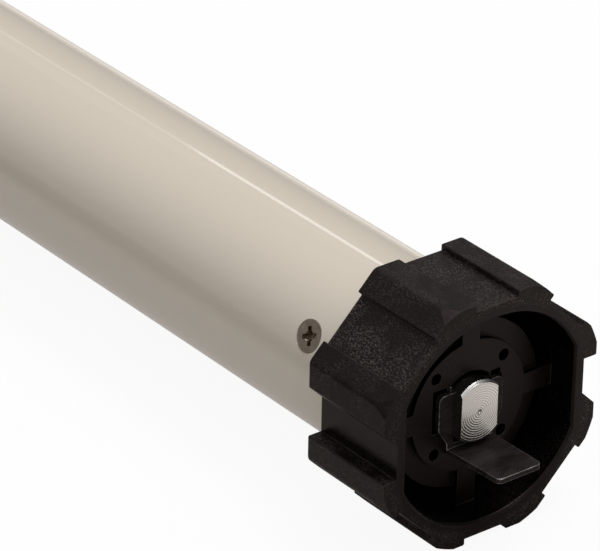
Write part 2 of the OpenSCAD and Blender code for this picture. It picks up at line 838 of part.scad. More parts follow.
// Pot magnet with the three pins that guide the armature
module brake_magnet() {
    color("dimgray") {
        difference() {
            rod(magnet_x, magnet_front, seat_r);
            rod(magnet_x - cut, magnet_front + cut, rotor_shaft_d / 2 + 0.6);
            rod(magnet_x + 3.4, magnet_front + cut, 7.2);
            pipe(magnet_x + 4, magnet_front + cut, coil_space_r0, coil_space_r1);
            brake_lead_places() rod(magnet_x - cut, magnet_x + 5, lead_r + 0.3);
        }
        brake_pin_places() rod(magnet_front - 5, brake_disc_x + 2, 1.3);
    }
}

module brake_coil() {
    color("peru") pipe(magnet_x + 4, magnet_front - 0.8, coil_space_r0 + 0.2, coil_space_r1 - 0.2);
}

// Motor

module bell(plate_x, rim_x0, rim_x1) {
    difference() {
        union() {
            rod(plate_x, plate_x + bell_t, seat_r);
            pipe(rim_x0, rim_x1, seat_r - 1.25, seat_r);
        }
        rod(plate_x - cut, plate_x + bell_t + cut, rotor_bush_od / 2);
        for (a = [0 : 60 : 300])
            around(a) translate([0, brake_lead_y, 0]) rod(plate_x - cut, plate_x + bell_t + cut, 3);
        children();
    }
}

// Opening for the motor leads at the foot of a ring or plate
module lead_notch(x0, x1) {
    block([x0 - cut, -6, lead_drop_z - 2.4], [x1 + cut, 6, lead_drop_z + 1.2]);
}

module end_bell_output() {
    color("silver") bell(out_bell_x, stator_end, out_bell_x + eps);
}

module end_bell_head() {
    color("silver") bell(head_bell_x, head_bell_x + bell_t - eps, stator_x)
        lead_notch(head_bell_x, head_bell_x + bell_t);
}

module rotor_bushes() {
    color("peru") {
        for (x = [head_bell_x, out_bell_x])
            pipe(x, x + bell_t, rotor_shaft_d / 2 + running_gap, rotor_bush_od / 2);
    }
}

module rotor_shaft() {
    color("silver") {
        rod(head_bell_x + 1, ring_x, rotor_shaft_d / 2);
        rod(ring_x - eps, carrier_1_x - stage_gap, 2.5);
    }
}

module rotor_bar_places() {
    for (k = [0 : rotor_bars - 1]) around(k * 360 / rotor_bars) translate([0, 8.9, 0]) children();
}

module rotor_core() {
    color("lightslategray") difference() {
        rod(stator_x + 1, stator_end - 1, rotor_r);
        rod(stator_x, stator_end, rotor_shaft_d / 2 + eps);
        rotor_bar_places() rod(stator_x, stator_end, 1.12);
    }
}

module rotor_cage() {
    color("gainsboro") {
        rotor_bar_places() rod(stator_x + 1 - eps, stator_end - 1 + eps, 1.1);
        pipe(stator_x - 3, stator_x + 1, 6, rotor_r - 0.2);
        pipe(stator_end - 1, stator_end + 3, 6, rotor_r - 0.2);
    }
}

module slot_shape(inset) {
    half0 = slot_w0 / 2 - inset;
    half1 = slot_w1 / 2 - inset;
    r0 = slot_r0 + inset;
    r1 = slot_r1 - inset;
    polygon([[r0, -half0], [r1, -half1], [r1, half1], [r0, half0]]);
}

module stator_core() {
    color("slategray") difference() {
        pipe(stator_x, stator_end, stator_bore_r, seat_r);
        lengthwise(stator_x - cut, stator_end + cut)
            for (k = [0 : slot_count - 1]) rotate(k * 360 / slot_count) {
                slot_shape(0);
                translate([stator_bore_r - 1, -0.9]) square([2.6, 1.8]);
            }
    }
}

module stator_windings() {
    color("chocolate") {
        lengthwise(stator_x - eps, stator_end + eps)
            for (k = [0 : slot_count - 1]) rotate(k * 360 / slot_count) slot_shape(0.25);
        for (x = [stator_x - winding_len + 1.5, stator_end])
            pipe(x, x + winding_len - 1.5, slot_r0 + 0.2, slot_r1 + 1.2);
    }
}

// Capacitor, electronics and leads

module run_capacitor() {
    r = capacitor_d / 2;
    color("whitesmoke") {
        rod(capacitor_x, capacitor_end, r);
        for (side = [-1, 1])
            translate([capacitor_x - 8, side * capacitor_lead_y - 0.4, -2]) cube([8 + eps, 0.8, 6]);
    }
}

module capacitor_cradle() {
    r = capacitor_d / 2;
    color([0.2, 0.2, 0.22]) difference() {
        union() {
            for (x = [capacitor_x + 4, capacitor_end - 12]) pipe(x, x + 8, r + 0.05, seat_r);
            for (a = [30, 150]) around(a) block([capacitor_x + 11, r + 2, -3], [capacitor_end - 11, r + 5, 3]);
        }
        lead_notch(capacitor_x, capacitor_end);
    }
}

// A round wire through the points, with a ball at each bend
module wire(points, r) {
    for (i = [0 : len(points) - 2]) {
        run = points[i + 1] - points[i];
        flat = norm([run[0], run[1]]);
        translate(points[i]) rotate([0, atan2(flat, run[2]), atan2(run[1], run[0])])
            cylinder(h = norm(run), r = r);
        if (i > 0) translate(points[i]) sphere(r = r);
    }
}

// Mains leads, switch leads, capacitor leads, motor leads and brake leads
module inner_leads() {
    socket_back = -flange_d / 2 + socket_depth;
    winding_x = stator_x - winding_len + 1.5;
    drop_x = board_end + 5;
    for (z = supply_z) color(z < -2 ? "saddlebrown" : z < 0 ? "royalblue" : "limegreen")
        wire([[supply_x, socket_back, z], [supply_x, 0, z], [terminal_x[0], 0, z]], lead_r);
    color("gray") for (y = [-1.2, 1.2])
        wire([[button_x + 2, y, switch_z], [button_x + 2, y, 4], [board_x + 0.4, y, 4]], 0.6);
    color("dimgray") for (side = [-1, 1])
        wire([[board_end, side * capacitor_lead_y, 1], [capacitor_x - 8, side * capacitor_lead_y, 1]], lead_r);
    for (y = [-4, 0, 4]) color(y < 0 ? "saddlebrown" : y > 0 ? "royalblue" : "dimgray")
        wire([
            [board_end, y, 3], [drop_x, y, 3], [drop_x, y, lead_drop_z], [winding_x, y, lead_drop_z]
        ], lead_r);
    color("dimgray") brake_lead_places() rod(stator_end + winding_len - 1.5, magnet_x + 4, lead_r);
}

module board_tray() {
    rail_z = board_z - board_t;
    color([0.25, 0.25, 0.27]) difference() {
        union() {
            pipe(plug_end, tray_end, seat_r - tray_wall, seat_r);
            for (side = [-1, 1]) scale([1, side, 1])
                block([plug_end, board_w / 2 - 2, rail_z - 2], [tray_end, seat_r - 1.65, rail_z]);
        }
        block([plug_end - cut, -tube_r, board_z + 2], [tray_end + cut, tube_r, tube_r]);
    }
}

module control_board() {
    color("darkgreen") block([board_x, -board_w / 2, board_z - board_t], [board_end, board_w / 2, board_z]);
}

module relays() {
    color("royalblue") for (place = [79, 101]) {
        x = board_x + place * stretch;
        block([x, -7.5, board_z], [x + 19 * stretch, 7.5, board_z + 15]);
    }
}

module radio_module() {
    x = board_x + 20.5 * stretch;
    color("silver") {
        block([x, -9, board_z], [x + 22 * stretch, 9, board_z + 0.8]);
        block([x + 1.5, -7.5, board_z + 0.8 - eps], [x + 16 * stretch, 7.5, board_z + 3.2]);
    }
}

module power_supply() {
    x = board_x + 45 * stretch;
    end = x + 22 * stretch;
    color("goldenrod") {
        block([x, -10, board_z], [end, 10, board_z + 13]);
        translate([end + 5, 0, board_z]) cylinder(h = 14, r = 4);
        block([end - 1, -5, board_z], [end + 5, 5, board_z + 1]);
    }
}

module terminal_blocks() {
    color("seagreen") for (x = terminal_x) difference() {
        block([x, -terminal_w / 2, board_z], [x + terminal_len, terminal_w / 2, board_z + terminal_h]);
        for (k = [-2 : 2]) translate([x + terminal_len / 2, k * terminal_w / 6, board_z + terminal_h - 4])
            cylinder(h = 5, d = terminal_hole_d);
    }
}

// Upright board with the field sensor, open at its foot for the mains leads
module turn_sensor() {
    color("darkslategray") difference() {
        union() {
            block([board_x + 0.4, -5, board_z], [board_x + 2, 5, crown_centre + 3]);
            block([board_x - 0.4, -2, crown_centre - 2], [board_x + 0.4 + eps, 2, crown_centre + 2]);
        }
        block([board_x, -1.3, board_z - cut], [board_x + 3, 1.3, 2.7]);
    }
}

// Crown, and the pinion that counts its turns

module at_sensor() {
    translate([0, 0, crown_centre]) children();
}

module sensor_pinion() {
    color("ivory") at_sensor() {
        lengthwise(crown_web + 0.3, crown_web + 0.3 + sensor_face) rotate(90) gear(sensor_teeth, crown_m);
        rod(journal_end - 3, magnet_disc_x + 3, 1.5);
        rod(journal_end + 0.3, tube_start - 0.3, 3);
    }
}

module sensor_magnet() {
    color("dimgray") at_sensor() pipe(magnet_disc_x, magnet_disc_x + 3, 1.5, 5.5);
}

module crown_ring() {
    color("gainsboro") difference() {
        union() {
            rod(crown_start, crown_end, crown_d / 2);
            rod(crown_start, crown_start + 1, crown_d / 2 + 2);
            for (a = [90, 270])
                around(a) block([crown_start, crown_d / 2 - 1, -2], [crown_end, crown_d / 2 + key_h, 2]);
        }
        rod(crown_start - cut, crown_web, journal_d / 2 + running_gap);
        lengthwise(crown_web - cut, crown_end + cut) ring_space(crown_teeth, crown_m);
    }
}

module crown_adapter() {
    x = crown_start + 1;
    color([0.09, 0.09, 0.09]) difference() {
        lengthwise(x, x + adapter_len) land_outline(adapter_af);
        rod(x - cut, x + adapter_len + cut, crown_d / 2 + 0.03);
        for (a = [90, 270]) around(a)
            block([x - cut, crown_d / 2 - 1, -2.03], [x + adapter_len + cut, crown_d / 2 + key_h + 0.05, 2.03]);
    }
}

// Head

module head_screw_places() {
    for (a = [200, 270, 340]) around(a) translate([0, 12.5, 0]) children();
}

module tube_plug() {
    color([0.12, 0.12, 0.12]) difference() {
        union() {
            rod(collar_face, tube_start, tube_r);
            rod(tube_start - eps, plug_end, seat_r);
        }
        rod(collar_face - cut, tube_start, head_spigot_d / 2 + 0.05);
        rod(tube_start - cut, plug_end + cut, 6);
        rod(tube_start + 4, plug_end + cut, 18);
        at_sensor() rod(tube_start - cut, plug_end, 1.5 + running_gap);
        head_screw_places() rod(tube_start - cut, plug_end, 1.8);
        screws_at(head_screw_x) tube_screw_shape(0.02);
    }
}

module head_screws() {
    color("silver") head_screw_places() difference() {
        union() {
            rod(tube_start - 8, tube_start + 4 + eps, 1.6);
            rod(tube_start + 4, tube_start + 6.4, 3);
        }
        for (turn = [0, 90])
            around(turn) block([tube_start + 5, -1.7, -0.4], [tube_start + 7, 1.7, 0.4]);
    }
}

module socket_space() {
    block([socket_x - socket_len / 2, -flange_d / 2 - cut, -socket_h / 2],
        [socket_x + socket_len / 2, -flange_d / 2 + socket_depth, socket_h / 2]);
    block([supply_x - 1.1, -flange_d / 2 + socket_depth - cut, -3.6], [supply_x + 1.1, 2, 2.6]);
}

module head_body() {
    r = flange_d / 2;
    color([0.1, 0.1, 0.1]) difference() {
        union() {
            cone_rod(0, 1, r - 1, r);
            rod(1, flange_len, r);
            rod(flange_len, journal_end, journal_d / 2);
            rod(journal_end, head_spigot_end, head_spigot_d / 2);
        }
        rod(13, head_spigot_end + cut, 6);
        block([-cut, -mount_pin_w / 2, -mount_pin_w / 2], [12, mount_pin_w / 2, mount_pin_w / 2]);
        for (side = [-1, 1])
            translate([0, 0, side * insert_spacing / 2]) rod(-cut, insert_len, insert_r);
        socket_space();
        at_sensor() rod(journal_end - 3.2, journal_end + 1, 1.5 + running_gap);
        at_sensor() rod(journal_end, head_spigot_end + cut, 7.3);
        head_screw_places() rod(tube_start - 8.5, head_spigot_end + cut, 1.6);
        translate([button_x, 0, switch_z]) cylinder(h = r, r = bezel_r);
        block([button_x + 0.9, -2, 3], [button_x + 3.1, 2, switch_z + cut]);
    }
}

module mounting_pin() {
    w = mount_pin_w / 2 - 0.03;
    color("silver") difference() {
        intersection() {
            block([-mount_pin_len, -w, -w], [12, w, w]);
            union() {
                rod(-mount_pin_len + 1, 12, 1.3 * w);
                cone_rod(-mount_pin_len, -mount_pin_len + 1, 1.3 * w - 1, 1.3 * w);
            }
        }
        translate([-mount_pin_len + 4, 0, -w - 1]) cylinder(h = 2 * w + 2, r = 1.6);
    }
}

module mount_inserts() {
    color("gold") for (side = [-1, 1])
        translate([0, 0, side * insert_spacing / 2]) pipe(0, insert_len, insert_core_r, insert_r);
}

module cable_contacts() {
    back = -flange_d / 2 + socket_depth;
    half = socket_len / 2 - 0.5;
    color("goldenrod") {
        block([socket_x - half, back - 1.5, -socket_h / 2 + 0.5], [socket_x + half, back, socket_h / 2 - 0.5]);
        for (dx = [-3, 3]) for (dz = [-2.2, 2.2])
            translate([socket_x + dx, back - 8, dz]) rotate([-90, 0, 0]) cylinder(h = 7, r = 0.7);
    }
}

// Programming button over its switch

module prog_button() {
    color("gold") translate([button_x, 0, 0]) {
        translate([0, 0, button_collar_z]) cylinder(h = flange_d / 2 + 0.8 - button_collar_z, r = button_d / 2);
        translate([0, 0, button_collar_z]) cylinder(h = 1.5, r = 3.8);
        translate([0, 0, button_collar_z - 2.3]) cylinder(h = 2.4, r = 1.2);
    }
}

// Clear ring that keeps the button in and shows the light
module button_bezel() {
    color("whitesmoke") translate([button_x, 0, bezel_z]) difference() {
        cylinder(h = flange_d / 2 - 0.4 - bezel_z, r = bezel_r);
        translate([0, 0, -cut]) cylinder(h = flange_d, r = button_d / 2 + running_gap);
    }
}

module button_spring() {
    color("silver") translate([button_x, 0, switch_z + 3.5])
        coil_spring(3.1, 0.3, 3, button_collar_z - switch_z - 3.5);
}

module prog_switch() {
    color("dimgray") translate([button_x, 0, switch_z]) {
        cylinder(h = 3.5, r = 4);
        cylinder(h = 5.4, r = 1.4);
    }
}

motor_tube();
tube_screws();
drive_wheel();
output_shaft();
locking_clip();
shaft_circlip();
output_end_cap();
output_bush();
ring_gear();
output_carrier();
carrier_2();
carrier_1();
planet_3a();
planet_3b();
planet_3c();
planet_2a();
planet_2b();
planet_2c();
planet_1a();
planet_1b();
planet_1c();
gear_plate();
motor_pinion();
brake_disc();
brake_armature();
brake_spring();
brake_magnet();
brake_coil();
end_bell_output();
end_bell_head();
rotor_bushes();
rotor_shaft();
rotor_core();
rotor_cage();
stator_core();
stator_windings();
run_capacitor();
capacitor_cradle();
inner_leads();
board_tray();
control_board();
relays();
radio_module();
power_supply();
terminal_blocks();
turn_sensor();
sensor_pinion();
sensor_magnet();
crown_ring();
crown_adapter();
tube_plug();
head_screws();
head_body();
mounting_pin();
mount_inserts();
cable_contacts();
prog_button();
button_bezel();
button_spring();
prog_switch();
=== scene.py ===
import json
import math

import bpy
from mathutils import Matrix, Quaternion, Vector


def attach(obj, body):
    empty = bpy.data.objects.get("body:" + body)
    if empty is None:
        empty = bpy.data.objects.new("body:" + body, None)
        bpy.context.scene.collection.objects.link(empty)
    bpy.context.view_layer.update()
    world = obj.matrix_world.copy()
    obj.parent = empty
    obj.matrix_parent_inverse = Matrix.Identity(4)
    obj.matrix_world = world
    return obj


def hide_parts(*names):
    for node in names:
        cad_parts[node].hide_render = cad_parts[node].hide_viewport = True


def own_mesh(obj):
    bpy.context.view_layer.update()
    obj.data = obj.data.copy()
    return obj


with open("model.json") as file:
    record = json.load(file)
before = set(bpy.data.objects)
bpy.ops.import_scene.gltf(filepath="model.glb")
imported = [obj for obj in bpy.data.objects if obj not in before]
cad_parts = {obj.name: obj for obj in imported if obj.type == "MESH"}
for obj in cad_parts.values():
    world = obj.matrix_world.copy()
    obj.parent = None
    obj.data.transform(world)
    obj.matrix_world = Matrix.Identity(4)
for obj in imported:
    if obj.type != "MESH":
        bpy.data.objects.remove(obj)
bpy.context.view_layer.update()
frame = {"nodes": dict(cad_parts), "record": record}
NODES = frame["nodes"]

# Places on the motor, in metres. The axis is the X axis, and the head is at X = 0.
WHEEL_RIM_X = 0.560
CAVITY_X = 0.555
WHEEL_SIDE_X = 0.5  # The wheel lies past this, and the crown before it.
FLOOR_Z = -0.0294

# Distances at which a ramp ends: one on the radius of the wheel, and one on the floor round it
RADIUS_RAMP = 0.040
FLOOR_RAMP = 0.2


class Value:
    """A socket of a shader. Arithmetic on it adds Math nodes."""

    def __init__(self, shader, socket):
        self.shader = shader
        self.socket = socket

    def math(self, operation, *others):
        values = dict(enumerate([self, *others]))
        return self.shader.node("ShaderNodeMath", {"operation": operation}, values)

    def __add__(self, other):
        return self.math("ADD", other)

    __radd__ = __add__

    def __sub__(self, other):
        return self.math("SUBTRACT", other)

    def __rsub__(self, other):
        return self.shader.node("ShaderNodeMath", {"operation": "SUBTRACT"}, {0: other, 1: self})

    def __mul__(self, other):
        return self.math("MULTIPLY", other)

    __rmul__ = __mul__

    def __truediv__(self, other):
        return self.math("DIVIDE", other)

    def __gt__(self, other):
        return self.math("GREATER_THAN", other)

    def waves(self, pitch):
        """A sine of this value that repeats every pitch metres."""
        return (self * (2 * math.pi / pitch)).math("SINE")


class Shader:
    """The nodes of a material or of the world, under construction."""

    def __init__(self, owner):
        owner.use_nodes = True
        self.owner = owner
        self.tree = owner.node_tree
        self.tree.nodes.clear()

    def node(self, kind, settings=None, sockets=None, out=0):
        made = self.tree.nodes.new(kind)
        for key, value in (settings or {}).items():
            if key == "stops":
                self.set_stops(made.color_ramp, value)
            else:
                setattr(made, key, value)
        for key, value in (sockets or {}).items():
            if isinstance(value, Value):
                self.tree.links.new(value.socket, made.inputs[key])
            else:
                made.inputs[key].default_value = value
        return Value(self, made.outputs[out])

    @staticmethod
    def set_stops(ramp, stops):
        while len(ramp.elements) < len(stops):
            ramp.elements.new(0.5)
        for element, (place, shade) in zip(ramp.elements, stops):
            element.position = place
            element.color = (shade, shade, shade, 1)

    def place(self):
        """Object coordinates, in metres along the row frame."""
        return self.node("ShaderNodeTexCoord", out="Object")

    def xyz(self, vector):
        split = self.node("ShaderNodeSeparateXYZ", None, {0: vector}).socket.node
        return [Value(self, split.outputs[i]) for i in range(3)]

    def axis_radius(self):
        """Distance from the motor axis, in metres."""
        _, y, z = self.xyz(self.place())
        return (y * y + z * z).math("SQRT")

    def end_faces(self, limit):
        """1 on faces that look along the motor axis, 0 on its sides."""
        x, _, _ = self.xyz(self.node("ShaderNodeTexCoord", out="Normal"))
        return x.math("ABSOLUTE") > limit

    def noise(self, size, detail=2.0, rough=0.5, stretch=None):
        """Noise whose features are about size metres across."""
        where = self.place()
        if stretch:
            where = self.node("ShaderNodeMapping", None, {"Vector": where, "Scale": stretch})
        sockets = {"Vector": where, "Scale": 1 / size, "Detail": detail, "Roughness": rough}
        return self.node("ShaderNodeTexNoise", None, sockets)

    def ramp(self, value, *stops):
        """Each stop is a place on value and the grey that it gets there."""
        return self.node("ShaderNodeValToRGB", {"stops": stops}, {0: value})

    def blend(self, factor, a, b):
        """Colour a where factor is 0, b where it is 1."""
        a, b = [c if isinstance(c, Value) else (*c, 1) for c in (a, b)]
        # A Mix node's colours are its sockets 6 and 7 and its output 2.
        return self.node("ShaderNodeMix", {"data_type": "RGBA"}, {0: factor, 6: a, 7: b}, out=2)

    def bump(self, height, depth, strength=1.0, normal=None):
        sockets = {"Strength": strength, "Distance": depth, "Height": height}
        if normal is not None:
            sockets["Normal"] = normal
        return self.node("ShaderNodeBump", None, sockets)

    def soft_edges(self, radius):
        """The normal, rounded over the edges."""
        return self.node("ShaderNodeBevel", {"samples": 6}, {"Radius": radius})

    def edges(self, radius, start, full):
        """1 on the edges of a piece, 0 on its faces."""
        normals = {0: self.soft_edges(radius), 1: self.node("ShaderNodeNewGeometry", out="Normal")}
        alike = self.node("ShaderNodeVectorMath", {"operation": "DOT_PRODUCT"}, normals, out="Value")
        return self.ramp(1 - alike, (start, 0.0), (full, 1.0))

    def rays(self):
        """What looks: the camera, a surface that mirrors, and one that lets light through."""
        path = self.node("ShaderNodeLightPath").socket.node
        kinds = ("Is Camera Ray", "Is Glossy Ray", "Is Transmission Ray")
        return [Value(self, path.outputs[kind]) for kind in kinds]

    def end(self, shader, output="ShaderNodeOutputMaterial"):
        self.tree.links.new(shader.socket, self.tree.nodes.new(output).inputs[0])


class Finish(Shader):
    """A material."""

    def __init__(self, name):
        super().__init__(bpy.data.materials.new(name))

    def surface(self, **sockets):
        named = {k.replace("_", " "): v for k, v in sockets.items()}
        for key in ("Base Color", "Specular Tint"):
            if key in named and not isinstance(named[key], Value):
                named[key] = (*named[key], 1)
        self.end(self.node("ShaderNodeBsdfPrincipled", None, named))
        return self.owner


# Finishes of the pieces that show


def cream_paint():
    """Powder coat on the tube: even, glossy, with a faint orange peel and a little dust."""
    f = Finish("cream_paint")
    cream, pale_cream, dirt = (0.630, 0.560, 0.463), (0.665, 0.595, 0.495), (0.36, 0.31, 0.25)
    drift = f.noise(size=0.09)
    peel = f.noise(size=0.0022, detail=3, rough=0.6, stretch=(0.45, 1, 1))
    dust = f.ramp(f.noise(size=0.0007, detail=1), (0.70, 0.0), (0.78, 1.0))
    return f.surface(
        Base_Color=f.blend(dust * 0.10, f.blend(drift, cream, pale_cream), dirt),
        Roughness=0.42 + drift * 0.05,
        Specular_IOR_Level=0.15,
        Normal=f.bump(peel, depth=0.000016, strength=0.6),
        Coat_Weight=1.0,
        Coat_Roughness=0.05,
        Coat_IOR=1.8,
    )


def black_nylon():
    """Glass-filled nylon, nearly black. It shows by its sheen, and its shallow recesses are scuffed.
    Glints on the fibres there and highlights along its edges are painted in, as pale metallic colour.
    """
    f = Finish("black_nylon")
    # The pale grey is glass fibres showing in the scuffs, painted metallic so that they glint: partly
    # real fibres, partly a painted glint.
    black, fibre_and_glint_grey = (0.0014, 0.0009, 0.0008), (0.168, 0.142, 0.124)
    x, _, _ = f.xyz(f.place())
    used = (x > WHEEL_SIDE_X) * 0.65 + 0.35
    radius = f.axis_radius() / RADIUS_RAMP
    outside = f.ramp(radius, (0.650, 0.0), (0.680, 1.0))
    scuffed = f.ramp(radius, (0.655, 0.12), (0.688, 1.0), (0.722, 1.0), (0.740, 0.40))
    grain = f.noise(size=0.00045, detail=3, rough=0.65)
    strands = f.noise(size=0.00032, detail=4, rough=0.8, stretch=(0.55, 1, 1))
    fibres = f.ramp(strands, (0.50, 0.0), (0.66, 1.0))
    patches = f.ramp(f.noise(size=0.0065), (0.36, 0.15), (0.64, 1.0))
    worn = scuffed * patches * used
    # Painted highlight: pale metallic colour along the edges, in patches.
    painted_edge_highlight = f.edges(0.0004, start=0.04, full=0.16) * patches * 0.4
    # The painted fibre glints and the painted edge highlights, together.
    glint = (fibres * worn).math("MAXIMUM", painted_edge_highlight)
    matt = f.end_faces(0.9).math("MAXIMUM", outside)
    height = grain * 0.5 + fibres * worn * 1.5
    return f.surface(
        Base_Color=f.blend(glint, black, fibre_and_glint_grey),
        Metallic=glint,
        Roughness=0.18 + matt * 0.15 + grain * 0.10 + worn * 0.06,
        Specular_IOR_Level=0.22,
        Specular_Tint=(1.0, 0.79, 0.74),
        Normal=f.bump(height, depth=0.00008, strength=0.75, normal=f.soft_edges(0.00035)),
    )


def turned_steel():
    """Lathe-turned steel with fine rings on its end face. The end face is painted near white, a painted
    highlight, and the round sides and flats darker, painted shade. Its rings are dark with dirt and
    painted shade, and a painted reflection makes them darker towards the bottom.
    """
    f = Finish("turned_steel")
    # The end face colours are near white, a painted highlight; the side colours below are darker,
    # painted shade.
    bright, brighter, ring_dirt_and_shade = (0.92, 0.91, 0.89), (0.98, 0.975, 0.96), (0.30, 0.29, 0.28)
    side_shade, paler = (0.36, 0.35, 0.32), (0.46, 0.45, 0.42)
    radius = f.axis_radius()
    x, _, z = f.xyz(f.place())
    rings = (radius + f.noise(size=0.004) * 0.000223).waves(pitch=0.00056)
    fine_rings = radius.waves(pitch=0.00021)
    side_marks = x.waves(pitch=0.0003)
    smear = f.noise(size=0.0022)
    end_face = f.end_faces(0.7)
    # Painted reflection: the dark rings are full in the lower half of the end face and faint in its
    # upper half.
    painted_reflection_below = f.ramp(z * 50 + 0.5, (0.36, 1.0), (0.60, 0.30))
    # The dark rings are dirt in the turning grooves and painted shade.
    ring_dirt_and_shade_mask = f.ramp(rings * 0.5 + 0.5, (0.0, 1.0), (0.32, 0.0)) * painted_reflection_below
    faced = f.blend(ring_dirt_and_shade_mask, f.blend(smear, bright, brighter), ring_dirt_and_shade)
    height = end_face * (rings * 0.7 + fine_rings * 0.3) + (1 - end_face) * side_marks * 0.5
    return f.surface(
        Base_Color=f.blend(end_face, f.blend(smear, side_shade, paler), faced),
        Metallic=1.0,
        Roughness=end_face * 0.12 + 0.10 + smear * 0.08,
        Normal=f.bump(height, depth=0.00002, strength=0.9, normal=f.soft_edges(0.0002)),
    )


def clip_steel():
    """Spring steel sheet with a smeared dark oxide, worn through to the metal where its edges rub. The
    worn edges are painted pale, which paints a glint along them.
    """
    f = Finish("clip_steel")
    dark, paler, steel = (0.012, 0.0098, 0.0086), (0.037, 0.030, 0.028), (0.70, 0.67, 0.62)
    smear = f.noise(size=0.0035, detail=3, rough=0.6, stretch=(1, 0.4, 1))
    # Worn edges in pale metal, bright enough to paint a glint along them: partly wear, partly a painted
    # glint.
    bare_edge_and_glint = f.edges(0.0003, start=0.05, full=0.16) * f.ramp(smear, (0.42, 0.15), (0.58, 1.0))
    oxide = f.blend(f.ramp(smear, (0.30, 0.0), (0.70, 1.0)), dark, paler)
    dents = f.noise(size=0.0009)
    return f.surface(
        Base_Color=f.blend(bare_edge_and_glint, oxide, steel),
        Metallic=bare_edge_and_glint * 0.90 + 0.06,
        Roughness=0.18 + smear * 0.20,
        Specular_IOR_Level=0.07,
        Normal=f.bump(dents, depth=0.00001, strength=0.6, normal=f.soft_edges(0.0003)),
    )


def plated_steel(name, colour, dark):
    """Plated screws, blotched by handling."""
    f = Finish(name)
    smear = f.noise(size=0.0016, detail=3)
    dents = f.noise(size=0.0004)
    return f.surface(
        Base_Color=f.blend(smear, dark, colour),
        Metallic=1.0,
        Roughness=0.28 + smear * 0.18,
        Normal=f.bump(dents, depth=0.00001, strength=0.6, normal=f.soft_edges(0.00012)),
    )


# Finishes of the pieces inside, kept in families


def paler_by(factor, colour):
    return tuple(min(1.0, c * factor) for c in colour)


def cast_metal(name, colour, grain=0.0012):
    """Castings, sintered bushes and pressed cans."""
    f = Finish(name)
    pits = f.noise(size=grain, detail=3, rough=0.6)
    return f.surface(
        Base_Color=f.blend(pits, colour, paler_by(1.15, colour)),
        Metallic=1.0,
        Roughness=0.42 + pits * 0.2,
        Normal=f.bump(pits, depth=0.00004, strength=0.7),
    )


def cut_metal(name, colour, pitch, rough=0.3):
    """Machined metal with tool marks along the motor axis."""
    f = Finish(name)
    x, _, _ = f.xyz(f.place())
    smear = f.noise(size=0.003)
    return f.surface(
        Base_Color=f.blend(smear, colour, paler_by(1.18, colour)),
        Metallic=1.0,
        Roughness=rough + smear * 0.1,
        Normal=f.bump(x.waves(pitch), depth=0.000012, strength=0.7),
    )


def moulded(name, colour, rough=0.45, grain=0.0006):
    """Moulded plastic with a fine grain."""
    f = Finish(name)
    texture = f.noise(size=grain)
    drift = f.noise(size=0.02)
    pale = tuple(min(1.0, c * 1.12 + 0.004) for c in colour)
    return f.surface(
        Base_Color=f.blend(drift, colour, pale),
        Metallic=0.0,
        Roughness=rough + texture * 0.1,
        Normal=f.bump(texture, depth=0.00002, strength=0.6),
    )


def enamelled_copper():
    """Wound wire, as slanting bands."""
    f = Finish("copper")
    turns = f.node(
        "ShaderNodeTexWave",
        {"wave_type": "BANDS", "bands_direction": "DIAGONAL"},
        {"Vector": f.place(), "Scale": 420.0, "Distortion": 3.0, "Detail": 1.0},
        out="Fac",
    )
    return f.surface(
        Base_Color=f.blend(turns, (0.26, 0.08, 0.025), (0.62, 0.25, 0.10)),
        Metallic=0.75,
        Roughness=0.28 + turns * 0.1,
        Normal=f.bump(turns, depth=0.00025, strength=0.8),
    )


def circuit_board():
    """Green lacquer over copper tracks."""
    f = Finish("board_green")
    layout = {"Scale": 260.0, "Mortar Size": 0.03, "Brick Width": 0.9, "Row Height": 0.3}
    tracks = f.node("ShaderNodeTexBrick", {"offset": 0.5}, {"Vector": f.place(), **layout}, out="Fac")
    return f.surface(
        Base_Color=f.blend(tracks, (0.012, 0.10, 0.035), (0.05, 0.24, 0.10)),
        Roughness=0.3 + tracks * 0.1,
        Normal=f.bump(tracks, depth=0.00003, strength=0.6),
        Coat_Weight=0.6,
    )


